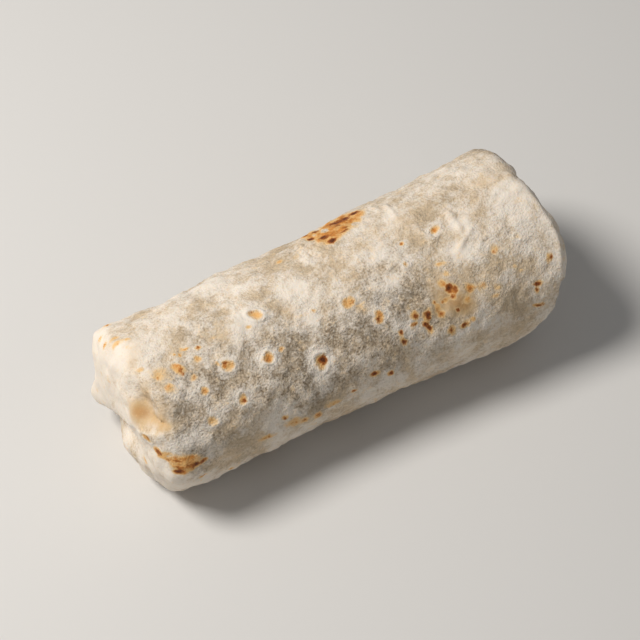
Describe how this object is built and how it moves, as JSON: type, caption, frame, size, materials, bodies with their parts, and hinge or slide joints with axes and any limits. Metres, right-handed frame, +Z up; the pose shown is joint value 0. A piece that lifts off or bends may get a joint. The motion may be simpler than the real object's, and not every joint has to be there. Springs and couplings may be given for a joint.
{
  "type": "burrito",
  "caption": "Whole uncut burrito in a toasted flour tortilla, lying on its side, with both ends folded in.",
  "frame": {"origin": "on the ground, under the middle of the burrito's box", "axes": "+Z up; X along the roll, with -X at the end whose fold stands open and shows; -Y is the side nearer the viewer"},
  "size_m": [0.1822, 0.0776, 0.0678],
  "materials": {
    "tortilla": "matt, floury toasted flour tortilla: cream and grey-beige mottling, golden and brown toasted spots and small blisters"
  },
  "bodies": {
    "root": {"burrito": "tortilla"}
  },
  "joints": []
}
